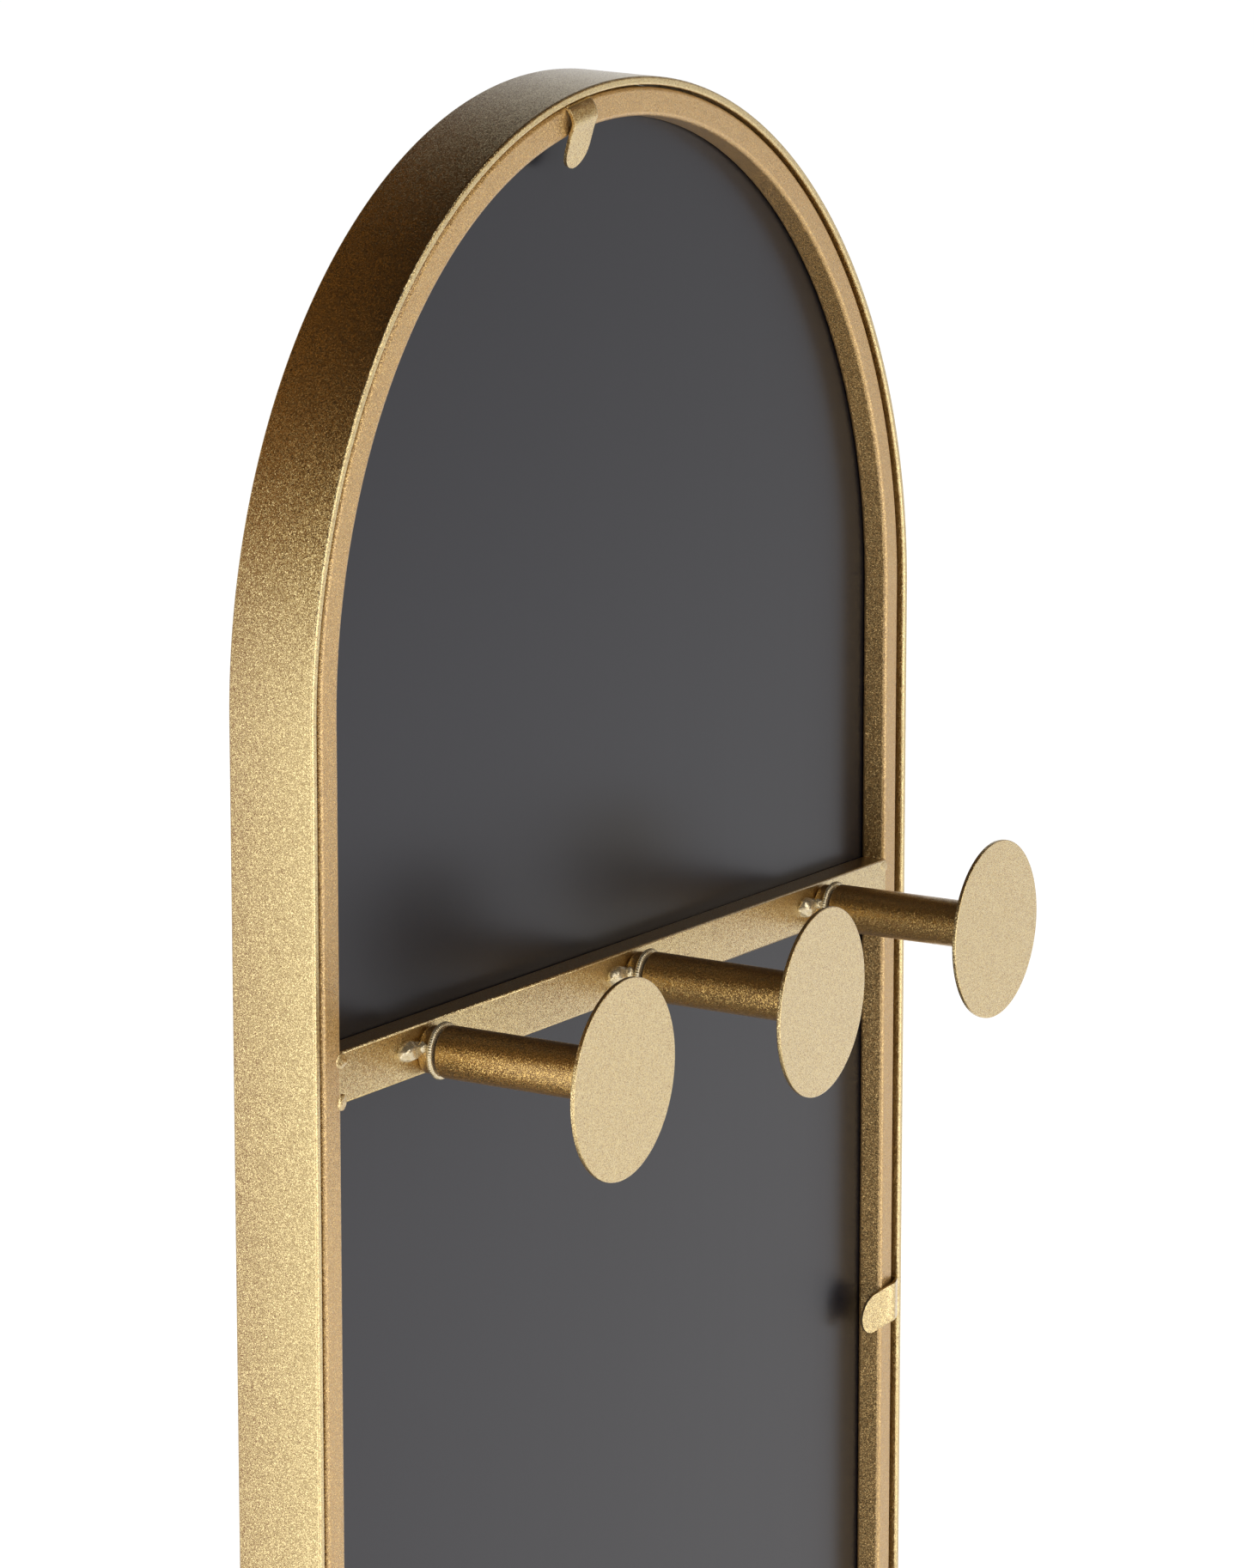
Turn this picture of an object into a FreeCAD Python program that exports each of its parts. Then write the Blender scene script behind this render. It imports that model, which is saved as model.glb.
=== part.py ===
import FreeCAD, Part
import math
import os

import Sketcher

# Free-standing arched mirror with three coat pegs on its back.
# The mirror looks along -Y, the pegs point along +Y, +Z is up.
# The origin lies on the floor under the middle of the base plate.
# Left and right are as seen from the rack side, so left is +X.

# Driving dimensions, in millimetres, degrees and shares
SIZES = {
    # Outer hoop: flat band bent to an arch
    "overall_height": 1700,
    "hoop_width": 400,
    "hoop_depth": 32,
    "hoop_wall": 3,
    "hoop_edge_round": 0.9,
    # Inner frame: square tube set inside the hoop
    "groove_width": 3,
    "tube_width": 10,
    "tube_depth": 10,
    "tube_wall": 1,
    "tube_corner_round": 1.6,
    "tube_recess": 1,
    "frame_lift": 1.2,
    # Mirror package, from the tube forwards
    "board_thickness": 3,
    "glass_thickness": 4,
    "glass_edge_room": 2,
    "tape_thickness": 1,
    "tape_width": 6,
    "stop_thickness": 2,
    "stop_width": 8,
    "block_length": 40,
    "block_height": 2,
    "block_place_share": 0.5,
    # Crossbar that carries the pegs
    "crossbar_drop": 112.9,
    "crossbar_height": 17.2,
    "crossbar_wall": 1,
    "crossbar_round": 1.2,
    "seam_weld_width": 7,
    "seam_weld_height": 5,
    "seam_weld_crown": 0.7,
    # Pegs
    "peg_end_room": 51.5,
    "peg_reach": 73.5,
    "peg_diameter": 17.5,
    "peg_wall": 1.5,
    "disc_diameter": 66,
    "disc_thickness": 1.5,
    "disc_edge_round": 0.3,
    "socket_diameter": 16,
    "socket_length": 4.5,
    "rim_diameter": 19,
    "rim_length": 2.4,
    "rim_round": 0.9,
    "stud_diameter": 8,
    "stud_length": 18,
    "plug_length": 14,
    "thread_clearance": 0.1,
    "tack_width": 9,
    "tack_reach": 4.5,
    "tack_height": 5,
    # Bend-over tabs
    "tab_width": 15,
    "tab_thickness": 1.2,
    "tab_leg_length": 9,
    "tab_axis_depth": 0.4,
    "tab_root_gap": 0.3,
    "tab_crown_share": 0.4,
    "tab_crown_height": 2,
    "tab_seat_gap": 0.3,
    "tab_overhang": 11,
    "tab_tip_drop": 3,
    "tab_upper_share": 0.19,
    "tab_middle_share": 0.575,
    "tab_lower_share": 0.96,
    "tab_left_drop": 12,
    "top_tab_angle": 12,
    # Base
    "rail_height": 15,
    "rail_wall": 1.5,
    "rail_round": 1.5,
    "base_margin": 10,
    "base_depth": 320,
    "base_thickness": 6,
    "base_corner": 30,
    "base_edge_round": 1.2,
    "screw_end_room": 57,
    "screw_diameter": 6,
    "screw_length": 14,
    "screw_head_diameter": 12,
    "screw_clearance": 0.25,
    "nut_width": 10,
    "nut_height": 5,
    "pad_diameter": 28,
    "pad_thickness": 3,
    "pad_inset": 36,
    # Cuts run this far past what they cut
    "overrun": 1,
}

FULL_TURN = 360

# Derived places and sizes, written as expressions on the sheet
HALF_WIDTH = "(Sizes.hoop_width / 2)"
SPRING = f"(Sizes.overall_height - {HALF_WIDTH})"
PLATE_TOP = "(Sizes.pad_thickness + Sizes.base_thickness)"
RAIL_TOP = f"({PLATE_TOP} + Sizes.rail_height)"
HOOP_REAR = "(Sizes.hoop_depth / 2)"
TUBE_REAR = f"({HOOP_REAR} - Sizes.tube_recess)"
BOARD_REAR = f"({TUBE_REAR} - Sizes.tube_depth)"
GLASS_REAR = f"({BOARD_REAR} - Sizes.board_thickness)"
TAPE_REAR = f"({GLASS_REAR} - Sizes.glass_thickness)"
STOP_REAR = f"({TAPE_REAR} - Sizes.tape_thickness)"
HOOP_INSIDE = f"({HALF_WIDTH} - Sizes.hoop_wall)"
GLASS_OUTSIDE = f"({HOOP_INSIDE} - Sizes.glass_edge_room)"
GLASS_BOTTOM = f"({RAIL_TOP} + Sizes.block_height)"
FRAME_OUTSIDE = f"({HOOP_INSIDE} - Sizes.groove_width)"
FRAME_INSIDE = f"({FRAME_OUTSIDE} - Sizes.tube_width)"
FRAME_SPRING = f"({SPRING} + Sizes.frame_lift)"
CROSSBAR_PLACE = f"({SPRING} - Sizes.crossbar_drop)"
PEG_PLACE = f"({FRAME_INSIDE} - Sizes.peg_end_room)"
PEG_SEAT = "(Sizes.socket_length + Sizes.rim_length)"
PEG_RADIUS = "(Sizes.peg_diameter / 2)"
STUD_RADIUS = "(Sizes.stud_diameter / 2)"
THREAD_RADIUS = f"({STUD_RADIUS} + Sizes.thread_clearance)"
HALF_TAB = "(Sizes.tab_thickness / 2)"
TAB_SEAT = "(Sizes.tab_axis_depth - Sizes.tube_recess)"
TUBE_FAR_SIDE = f"(Sizes.groove_width + Sizes.tube_width - {HALF_TAB})"
TAB_TIP = f"({TUBE_FAR_SIDE} + Sizes.tab_overhang)"
BASE_WIDTH = "(Sizes.hoop_width + 2 * Sizes.base_margin)"

doc = FreeCAD.newDocument("coat_rack_with_mirror")
nodes = []


def make_sheet():
    sheet = doc.addObject("Spreadsheet::Sheet", "Sizes")
    for row, (alias, number) in enumerate(SIZES.items(), start=1):
        address = f"A{row}"
        sheet.set(address, str(number))
        sheet.setAlias(address, alias)
    doc.recompute()


# Small helpers


def place(thing, x="0", y="0", z="0"):
    for axis, expression in (("x", x), ("y", y), ("z", z)):
        thing.setExpression(f".Placement.Base.{axis}", expression)


def new_body(label):
    return doc.addObject("PartDesign::Body", label)


def node(thing, label):
    thing.Label = label
    nodes.append(thing)
    return thing


def new_sketch(body, name, role, offset=None):
    plane = next(f for f in body.Origin.OriginFeatures if f.Role == role)
    sketch = body.newObject("Sketcher::SketchObject", name)
    sketch.AttachmentSupport = [(plane, "")]
    sketch.MapMode = "FlatFace"
    if offset:
        sketch.setExpression(".AttachmentOffset.Base.z", offset)
    return sketch


def dimension(sketch, name, kind, where, expression):
    index = sketch.addConstraint(Sketcher.Constraint(kind, *where))
    sketch.renameConstraint(index, name)
    sketch.setExpression(f"Constraints.{name}", expression)


def pad(body, sketch, length):
    feature = body.newObject("PartDesign::Pad", sketch.Name + "Pad")
    feature.Profile = sketch
    feature.setExpression("Length", length)
    return feature


def round_edges(body, feature, radius, wanted):
    doc.recompute()
    box = feature.Shape.BoundBox
    names = [f"Edge{i}" for i, edge in enumerate(feature.Shape.Edges, start=1) if wanted(edge, box)]
    fillet = body.newObject("PartDesign::Fillet", feature.Name + "Round")
    fillet.Base = (feature, names)
    fillet.setExpression("Radius", radius)
    return fillet


def same(one, other):
    return math.isclose(one, other, rel_tol=1e-6, abs_tol=1e-6)


def lies_at(edge, axis, level):
    return all(same(getattr(vertex.Point, axis), level) for vertex in edge.Vertexes)


def runs_along(edge, axis):
    spread = {a: getattr(edge.BoundBox, a.upper() + "Length") for a in "xyz"}
    return all(same(spread[a], 0) == (a != axis) for a in "xyz")


def arch_loop(sketch, tag, radius, bottom, spring=SPRING, rough=SIZES["hoop_width"] / 2):
    """A closed outline: two uprights under a half circle, with a level foot."""
    rise = rough * SIZES["overall_height"] / SIZES["hoop_width"]
    right, crown, left, foot = range(sketch.GeometryCount, sketch.GeometryCount + 4)
    point = FreeCAD.Vector
    circle = Part.Circle(point(0, rise, 0), point(0, 0, 1), rough)
    sketch.addGeometry(Part.LineSegment(point(rough, 0, 0), point(rough, rise, 0)))
    sketch.addGeometry(Part.ArcOfCircle(circle, 0, math.pi))
    sketch.addGeometry(Part.LineSegment(point(-rough, rise, 0), point(-rough, 0, 0)))
    sketch.addGeometry(Part.LineSegment(point(-rough, 0, 0), point(rough, 0, 0)))
    for rule in (
        ("Tangent", right, 2, crown, 1),
        ("Tangent", crown, 2, left, 1),
        ("Coincident", left, 2, foot, 1),
        ("Coincident", foot, 2, right, 1),
        ("Vertical", right),
        ("Vertical", left),
        ("Horizontal", foot),
        ("PointOnObject", crown, 3, -2),
    ):
        sketch.addConstraint(Sketcher.Constraint(*rule))
    dimension(sketch, tag + "Radius", "Radius", (crown, rough), radius)
    dimension(sketch, tag + "Spring", "DistanceY", (-1, 1, crown, 3, rise), spring)
    dimension(sketch, tag + "Bottom", "DistanceY", (-1, 1, foot, 1, rough), bottom)


def arch_body(label, rear, thickness, *loops, spring=SPRING):
    """A plate or ring with an arched outline, from its rear face forwards."""
    body = new_body(label)
    sketch = new_sketch(body, label + "Outline", "XZ_Plane", f"-{rear}")
    for tag, (radius, bottom) in zip(("Outer", "Inner"), loops):
        arch_loop(sketch, tag, radius, bottom, spring)
    return body, pad(body, sketch, thickness)


def outline(sketch, corners):
    """A closed outline through corners given as pairs of expressions."""
    count = len(corners)
    rough = SIZES["tube_width"]
    turns = [2 * math.pi * i / count for i in range(count)]
    spots = [FreeCAD.Vector(rough * math.cos(a), rough * math.sin(a), 0) for a in turns]
    first = sketch.GeometryCount
    for i in range(count):
        sketch.addGeometry(Part.LineSegment(spots[i], spots[(i + 1) % count]))
    for i in range(count):
        ends = (first + i, 2, first + (i + 1) % count, 1)
        sketch.addConstraint(Sketcher.Constraint("Coincident", *ends))
    for i, (across, up) in enumerate(corners):
        for kind, axis, expression, value in (
            ("DistanceX", -2, across, spots[i].x),
            ("DistanceY", -1, up, spots[i].y),
        ):
            if expression == "0":
                sketch.addConstraint(Sketcher.Constraint("PointOnObject", first + i, 1, axis))
            else:
                where = (-1, 1, first + i, 1, value)
                dimension(sketch, f"{kind}{first + i}", kind, where, expression)


def rectangle(sketch, width, height):
    x, y = f"{width} / 2", f"{height} / 2"
    outline(sketch, [(f"-{x}", f"-{y}"), (x, f"-{y}"), (x, y), (f"-{x}", y)])


def turned(label, profile):
    """A turned piece on the Y axis, from a half profile of radius and height."""
    body = new_body(label)
    sketch = new_sketch(body, label + "Profile", "XY_Plane")
    outline(sketch, profile)
    turn = body.newObject("PartDesign::Revolution", label + "Turn")
    turn.Profile = sketch
    turn.ReferenceAxis = (sketch, ["V_Axis"])
    turn.Angle = FULL_TURN
    return body, turn


def tube_along_x(label, length, depth, height, wall, corner):
    """A rectangular tube with rounded long edges, centred on its own origin."""
    body = new_body(label)
    sketch = new_sketch(body, label + "Section", "YZ_Plane", f"-{length} / 2")
    rectangle(sketch, depth, height)
    solid = pad(body, sketch, length)
    rounded = round_edges(body, solid, corner, lambda edge, box: runs_along(edge, "x"))
    bore = new_sketch(body, label + "Bore", "YZ_Plane", f"-{length} / 2")
    rectangle(bore, f"({depth} - 2 * {wall})", f"({height} - 2 * {wall})")
    pocket = body.newObject("PartDesign::Pocket", label + "Hollow")
    pocket.Profile = bore
    pocket.Reversed = True
    pocket.setExpression("Length", length)
    doc.recompute()
    if not pocket.Shape.Volume < rounded.Shape.Volume:
        raise RuntimeError(f"{label} is not hollow")
    return body


def group(label, things):
    compound = doc.addObject("Part::Compound", label)
    compound.Links = things
    return node(compound, label)


def cut(name, base, tool):
    result = doc.addObject("Part::Cut", name)
    result.Base = base
    result.Tool = tool
    return result


def box(name, length, width, height, x, y, z):
    """A block whose centre lies at x, y, z."""
    block = doc.addObject("Part::Box", name)
    for size, expression in (("Length", length), ("Width", width), ("Height", height)):
        block.setExpression(size, expression)
    place(block, f"{x} - {length} / 2", f"{y} - {width} / 2", f"{z} - {height} / 2")
    return block


def upright_cylinder(name, radius, height, x, y, z):
    cylinder = doc.addObject("Part::Cylinder", name)
    cylinder.setExpression("Radius", radius)
    cylinder.setExpression("Height", height)
    place(cylinder, x, y, z)
    return cylinder


def weld_lump(name, across, along, up, x, y, z):
    """The half of an ellipsoid that stands proud of a face looking along +Y."""
    lump = doc.addObject("Part::Ellipsoid", name + "Whole")
    for size, expression in (("Radius1", up), ("Radius2", across), ("Radius3", along)):
        lump.setExpression(size, expression)
    place(lump, x, y, z)
    behind = box(name + "Behind", f"4 * {across}", f"2 * {along}", f"4 * {up}", x, f"{y} - {along}", z)
    return cut(name, lump, behind)


# Sub-parts


def make_outer_hoop():
    body, band = arch_body("outer_hoop", HOOP_REAR, "Sizes.hoop_depth", (HALF_WIDTH, PLATE_TOP))
    inside = new_sketch(body, "HoopInside", "XZ_Plane", f"-{HOOP_REAR}")
    arch_loop(inside, "Inside", HOOP_INSIDE, f"{PLATE_TOP} - Sizes.overrun")
    opening = body.newObject("PartDesign::Pocket", "HoopOpening")
    opening.Profile = inside
    opening.Reversed = True
    opening.setExpression("Length", "Sizes.hoop_depth")
    doc.recompute()
    if not opening.Shape.Volume < band.Shape.Volume:
        raise RuntimeError("the hoop is not open")

    def long_edge(edge, limits):
        on_face = lies_at(edge, "y", limits.YMin) or lies_at(edge, "y", limits.YMax)
        return on_face and not lies_at(edge, "z", limits.ZMin)

    round_edges(body, opening, "Sizes.hoop_edge_round", long_edge)
    return node(body, "outer_hoop")


def make_inner_frame():
    """Square tube in the hoop; its arch springs a little higher, so the groove narrows at the top."""
    body, ring = arch_body(
        "inner_frame_outside",
        TUBE_REAR,
        "Sizes.tube_depth",
        (FRAME_OUTSIDE, RAIL_TOP),
        (FRAME_INSIDE, f"{RAIL_TOP} + Sizes.tube_width"),
        spring=FRAME_SPRING,
    )

    def face_edge(edge, limits):
        return lies_at(edge, "y", limits.YMin) or lies_at(edge, "y", limits.YMax)

    round_edges(body, ring, "Sizes.tube_corner_round", face_edge)
    cavity, _ = arch_body(
        "inner_frame_cavity",
        f"({TUBE_REAR} - Sizes.tube_wall)",
        "Sizes.tube_depth - 2 * Sizes.tube_wall",
        (f"{FRAME_OUTSIDE} - Sizes.tube_wall", f"{RAIL_TOP} + Sizes.tube_wall"),
        (f"{FRAME_INSIDE} + Sizes.tube_wall", f"{RAIL_TOP} + Sizes.tube_width - Sizes.tube_wall"),
        spring=FRAME_SPRING,
    )
    return node(cut("inner_frame_tube", body, cavity), "inner_frame")


def make_mirror_package():
    plates = (
        ("backing_board", BOARD_REAR, "Sizes.board_thickness", RAIL_TOP),
        ("mirror_glass", GLASS_REAR, "Sizes.glass_thickness", GLASS_BOTTOM),
    )
    for label, rear, thickness, bottom in plates:
        body, _ = arch_body(label, rear, thickness, (GLASS_OUTSIDE, bottom))
        node(body, label)
    rings = (
        ("glass_cushion_tape", TAPE_REAR, "tape", GLASS_OUTSIDE, GLASS_BOTTOM),
        ("glass_stop", STOP_REAR, "stop", HOOP_INSIDE, RAIL_TOP),
    )
    for label, rear, kind, outside, bottom in rings:
        width = f"Sizes.{kind}_width"
        inner = (f"{outside} - {width}", f"{bottom} + {width}")
        body, _ = arch_body(label, rear, f"Sizes.{kind}_thickness", (outside, bottom), inner)
        node(body, label)
    blocks = []
    for name, side in (("BlockLeft", ""), ("BlockRight", "-")):
        blocks.append(
            box(
                name,
                "Sizes.block_length",
                "Sizes.glass_thickness",
                "Sizes.block_height",
                f"{side}{GLASS_OUTSIDE} * Sizes.block_place_share",
                f"{GLASS_REAR} - Sizes.glass_thickness / 2",
                f"{RAIL_TOP} + Sizes.block_height / 2",
            )
        )
    group("setting_blocks", blocks)


def make_crossbar():
    bar = tube_along_x(
        "crossbar",
        f"(2 * {FRAME_INSIDE})",
        "Sizes.tube_depth",
        "Sizes.crossbar_height",
        "Sizes.crossbar_wall",
        "Sizes.crossbar_round",
    )
    place(bar, "0", f"{TUBE_REAR} - Sizes.tube_depth / 2", CROSSBAR_PLACE)
    node(bar, "crossbar")
    lift = "(Sizes.crossbar_height - Sizes.seam_weld_height) / 2"
    for side, sign in (("left", ""), ("right", "-")):
        puddles = []
        for name, level in (("Top", "+"), ("Low", "-")):
            puddles.append(
                weld_lump(
                    f"SeamWeld{name}_{side}",
                    "Sizes.seam_weld_width / 2",
                    "Sizes.seam_weld_crown",
                    "Sizes.seam_weld_height / 2",
                    f"{sign}{FRAME_INSIDE}",
                    TUBE_REAR,
                    f"{CROSSBAR_PLACE} {level} {lift}",
                )
            )
        group(f"crossbar_welds_{side}", puddles)


def make_peg(side, x):
    """One peg: socket on the crossbar, stud, plugged tube and end disc."""
    end = "Sizes.peg_reach - Sizes.disc_thickness"
    socket = "Sizes.socket_diameter / 2"
    rim = "Sizes.rim_diameter / 2"
    bore = f"{PEG_RADIUS} - Sizes.peg_wall"
    disc = "Sizes.disc_diameter / 2"
    profiles = {
        "peg_socket": [
            (THREAD_RADIUS, "0"),
            (socket, "0"),
            (socket, "Sizes.socket_length"),
            (rim, "Sizes.socket_length"),
            (rim, PEG_SEAT),
            (THREAD_RADIUS, PEG_SEAT),
        ],
        "peg_stud": [
            ("0", "0"),
            (STUD_RADIUS, "0"),
            (STUD_RADIUS, "Sizes.stud_length"),
            ("0", "Sizes.stud_length"),
        ],
        "peg_plug": [
            (THREAD_RADIUS, PEG_SEAT),
            (bore, PEG_SEAT),
            (bore, f"{PEG_SEAT} + Sizes.plug_length"),
            (THREAD_RADIUS, f"{PEG_SEAT} + Sizes.plug_length"),
        ],
        "peg_tube": [(bore, PEG_SEAT), (PEG_RADIUS, PEG_SEAT), (PEG_RADIUS, end), (bore, end)],
        "peg_disc": [("0", end), (disc, end), (disc, "Sizes.peg_reach"), ("0", "Sizes.peg_reach")],
    }
    rounded = {
        "peg_socket": ("Sizes.rim_round", SIZES["rim_diameter"]),
        "peg_disc": ("Sizes.disc_edge_round", SIZES["disc_diameter"]),
    }
    made = {}
    for piece, profile in profiles.items():
        body, turn = turned(f"{piece}_{side}", profile)
        if piece in rounded:
            radius, width = rounded[piece]
            round_edges(body, turn, radius, lambda edge, _: same(edge.BoundBox.XLength, width))
        place(body, x, TUBE_REAR, CROSSBAR_PLACE)
        made[piece] = node(body, f"{piece}_{side}")
    return made["peg_socket"]


def make_pegs():
    tacks = []
    for side, x in (("left", PEG_PLACE), ("middle", "0"), ("right", f"-{PEG_PLACE}")):
        socket = make_peg(side, x)
        for sign in ("+", "-"):
            name = f"Tack{len(tacks)}"
            lump = weld_lump(
                name + "Lump",
                "Sizes.tack_reach",
                "Sizes.tack_height",
                "Sizes.tack_width / 2",
                f"{x} {sign} Sizes.socket_diameter / 2",
                TUBE_REAR,
                CROSSBAR_PLACE,
            )
            core = doc.addObject("Part::Cylinder", name + "Core")
            core.setExpression("Radius", "Sizes.socket_diameter / 2")
            core.setExpression("Height", "2 * Sizes.tack_height")
            core.Placement.Rotation = FreeCAD.Rotation(FreeCAD.Vector(1, 0, 0), -FULL_TURN / 4)
            place(core, x, TUBE_REAR, CROSSBAR_PLACE)
            cleared = cut(name + "Cleared", lump, core)
            rim_core = doc.addObject("Part::Cylinder", name + "RimCore")
            rim_core.setExpression("Radius", "Sizes.rim_diameter / 2")
            rim_core.setExpression("Height", "2 * Sizes.tack_height")
            rim_core.Placement.Rotation = core.Placement.Rotation
            place(rim_core, x, f"{TUBE_REAR} + Sizes.socket_length", CROSSBAR_PLACE)
            tacks.append(cut(name, cleared, rim_core))
    group("peg_tack_welds", tacks)


def set_tab(thing, angle, x, z):
    """Puts a tab on the hoop: its local Z points inwards, its local Y to the rear."""
    thing.Placement.Rotation = FreeCAD.Rotation(FreeCAD.Vector(0, 1, 0), FULL_TURN / 2 + angle)
    place(thing, x, f"{HOOP_REAR} - Sizes.tab_axis_depth", z)


def tab_strip(name, corners):
    """A strip as wide as a tab, from a side outline of rearward and inward distances."""
    body = new_body(name)
    sketch = new_sketch(body, name + "Side", "YZ_Plane", "-Sizes.tab_width / 2")
    outline(sketch, corners)
    pad(body, sketch, "Sizes.tab_width")
    return body


def tongue_corners():
    """Side outline of a tongue: over the tube, down at its far side, towards the board."""
    under = [
        (f"-{HALF_TAB}", f"{HALF_TAB} + Sizes.tab_root_gap"),
        (
            f"{TAB_SEAT} + Sizes.tab_crown_height",
            f"Sizes.groove_width - {HALF_TAB} + Sizes.tab_crown_share * Sizes.tube_width",
        ),
        (f"{TAB_SEAT} + Sizes.tab_seat_gap", f"{TUBE_FAR_SIDE} - Sizes.tube_corner_round"),
        (f"{TAB_SEAT} - Sizes.tab_tip_drop", TAB_TIP),
    ]
    over = [(f"{rear} + Sizes.tab_thickness", inward) for rear, inward in reversed(under)]
    return under + over


def make_tab(name, angle, x, z):
    """A tongue with a half-round tip; hands back the leg it bends on."""
    strip = tab_strip(f"Strip_{name}", tongue_corners())
    plan = new_body(f"Plan_{name}")
    top = f"({TAB_SEAT} + Sizes.tab_crown_height + Sizes.tab_thickness + Sizes.overrun)"
    sketch = new_sketch(plan, f"PlanOutline_{name}", "XZ_Plane", f"-{top}")
    half_width = "Sizes.tab_width / 2"
    spring = f"{TAB_TIP} - {half_width}"
    arch_loop(sketch, "Tip", half_width, HALF_TAB, spring, SIZES["tab_width"] / 2)
    pad(plan, sketch, f"{top} - {TAB_SEAT} + Sizes.tab_tip_drop + Sizes.overrun")
    foot = "-Sizes.tab_leg_length"
    inner, outer = HALF_TAB, f"-{HALF_TAB}"
    leg = tab_strip(f"Leg_{name}", [(foot, outer), (foot, inner), ("0", inner), ("0", outer)])
    for piece in (strip, plan, leg):
        set_tab(piece, angle, x, z)
    tongue = doc.addObject("Part::Common", f"Tongue_{name}")
    tongue.Base = strip
    tongue.Tool = plan
    node(tongue, f"tab_tongue_{name}")
    return leg


def make_tabs():
    """Seven tabs: one beside the top of the arch and three on each upright, lower on the left."""
    quarter = FULL_TURN / 4
    tilt = SIZES["top_tab_angle"]
    chord = f"sqrt({HOOP_INSIDE} ^ 2 - (Sizes.tab_width / 2) ^ 2)"
    reach = f"({chord} - Sizes.tab_thickness / 2)"
    top_x = f"{reach} * sin(Sizes.top_tab_angle * 1 deg)"
    top_z = f"{SPRING} + {reach} * cos(Sizes.top_tab_angle * 1 deg)"
    legs = [make_tab("top", tilt, top_x, top_z)]
    wall = f"({HOOP_INSIDE} - Sizes.tab_thickness / 2)"
    for level in ("upper", "middle", "lower"):
        height = f"{SPRING} - ({SPRING} - {RAIL_TOP}) * Sizes.tab_{level}_share"
        legs.append(make_tab(f"{level}_left", quarter, wall, f"{height} - Sizes.tab_left_drop"))
        legs.append(make_tab(f"{level}_right", -quarter, f"-{wall}", height))
    group("tab_legs", legs)


def make_rail():
    rail = tube_along_x(
        "bottom_rail_tube",
        f"(2 * {HOOP_INSIDE})",
        "Sizes.hoop_depth",
        "Sizes.rail_height",
        "Sizes.rail_wall",
        "Sizes.rail_round",
    )
    place(rail, "0", "0", f"{PLATE_TOP} + Sizes.rail_height / 2")
    return rail


def screw_shape(name, clearance, x):
    """A countersunk screw, or with clearance the hole for one."""
    radius = f"(Sizes.screw_diameter / 2 + {clearance})"
    head = f"(Sizes.screw_head_diameter / 2 + {clearance})"
    cone = doc.addObject("Part::Cone", name + "Head")
    cone.setExpression("Radius1", head)
    cone.setExpression("Radius2", radius)
    cone.setExpression("Height", f"{head} - {radius}")
    place(cone, x, "0", "Sizes.pad_thickness")
    shank = upright_cylinder(name + "Shank", radius, "Sizes.screw_length", x, "0", "Sizes.pad_thickness")
    whole = doc.addObject("Part::Fuse", name)
    whole.Base = cone
    whole.Tool = shank
    return whole


def make_base():
    rail = make_rail()
    body = new_body("base_plate_blank")
    sketch = new_sketch(body, "PlateOutline", "XY_Plane", "Sizes.pad_thickness")
    rectangle(sketch, BASE_WIDTH, "Sizes.base_depth")
    slab = pad(body, sketch, "Sizes.base_thickness")
    corners = round_edges(body, slab, "Sizes.base_corner", lambda edge, limits: runs_along(edge, "z"))

    def rim_edge(edge, limits):
        return lies_at(edge, "z", limits.ZMax)

    round_edges(body, corners, "Sizes.base_edge_round", rim_edge)

    end_place = f"({HOOP_INSIDE} - Sizes.screw_end_room)"
    places = (end_place, "0", f"-{end_place}")
    screws, nuts = [], []
    plate, drilled = body, rail
    nut_foot = f"{PLATE_TOP} + Sizes.rail_wall"
    hole = "(Sizes.screw_diameter / 2 + Sizes.screw_clearance)"
    for i, x in enumerate(places):
        screws.append(screw_shape(f"Screw{i}", "0", x))
        plate = cut(f"PlateDrilled{i}", plate, screw_shape(f"ScrewHole{i}", "Sizes.screw_clearance", x))
        drill_foot = f"{PLATE_TOP} - Sizes.rail_wall / 2"
        drill = upright_cylinder(f"RailDrill{i}", hole, "2 * Sizes.rail_wall", x, "0", drill_foot)
        drilled = cut(f"RailDrilled{i}", drilled, drill)
        blank = doc.addObject("Part::Prism", f"NutBlank{i}")
        blank.Polygon = 6
        blank.setExpression("Circumradius", "Sizes.nut_width / sqrt(3)")
        blank.setExpression("Height", "Sizes.nut_height")
        place(blank, x, "0", nut_foot)
        thread = upright_cylinder(f"NutThread{i}", hole, "Sizes.nut_height", x, "0", nut_foot)
        nuts.append(cut(f"Nut{i}", blank, thread))
    node(drilled, "bottom_rail")
    node(plate, "base_plate")
    group("base_screws", screws)
    group("rail_weld_nuts", nuts)

    pads = []
    for side in ("", "-"):
        for end in ("", "-"):
            pads.append(
                upright_cylinder(
                    f"FloorPad{len(pads)}",
                    "Sizes.pad_diameter / 2",
                    "Sizes.pad_thickness",
                    f"{side}({BASE_WIDTH} / 2 - Sizes.pad_inset)",
                    f"{end}(Sizes.base_depth / 2 - Sizes.pad_inset)",
                    "0",
                )
            )
    group("floor_pads", pads)


def check_model():
    for thing in doc.Objects:
        faults = {"Invalid", "Error"} & set(thing.State)
        if faults:
            raise RuntimeError(f"{thing.Label} failed: {sorted(faults)}")
    for piece in nodes:
        if piece.Shape.isNull() or not piece.Shape.isValid():
            raise RuntimeError(f"{piece.Label} has no valid shape")


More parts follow.
